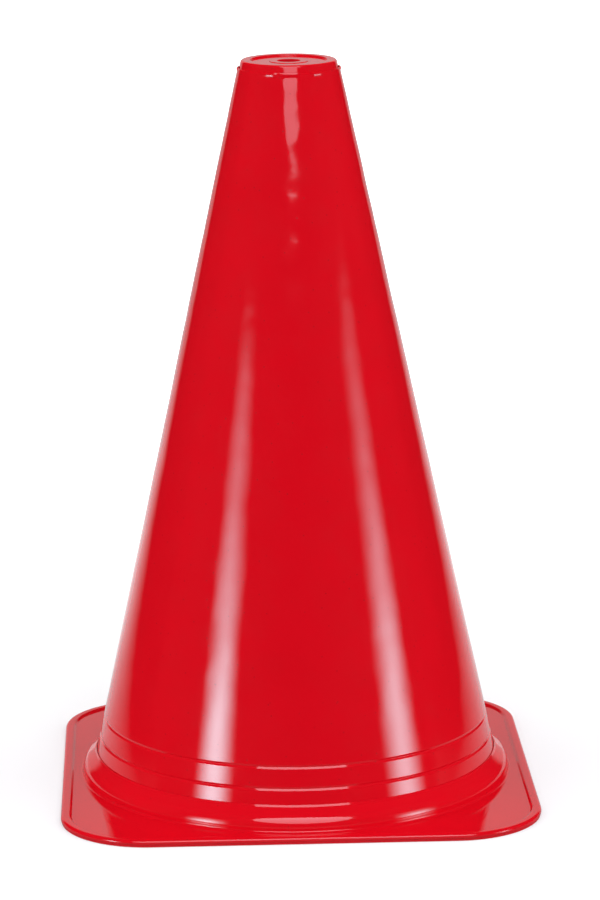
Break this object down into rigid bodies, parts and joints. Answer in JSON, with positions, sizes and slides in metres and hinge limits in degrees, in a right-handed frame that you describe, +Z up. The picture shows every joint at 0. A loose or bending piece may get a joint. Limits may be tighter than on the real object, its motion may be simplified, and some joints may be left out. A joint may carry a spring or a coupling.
{
  "type": "sports marker cone",
  "caption": "Sports marker cone: hollow tapered shell with a grooved foot, seated in a rounded-square tray base with a raised rim and closed by a snap-in tip cap with a centre hole; stacks.",
  "frame": {"origin": "centre of the base, on the floor", "axes": "+Z up along the cone's axis; X and Y along the sides of the square base"},
  "size_m": [0.1948, 0.1948, 0.3],
  "materials": {
    "red_plastic": "gloss, self-coloured red"
  },
  "bodies": {
    "root": {"cone_body": "red_plastic", "base_plate": "red_plastic", "tip_cap": "red_plastic"}
  },
  "joints": []
}
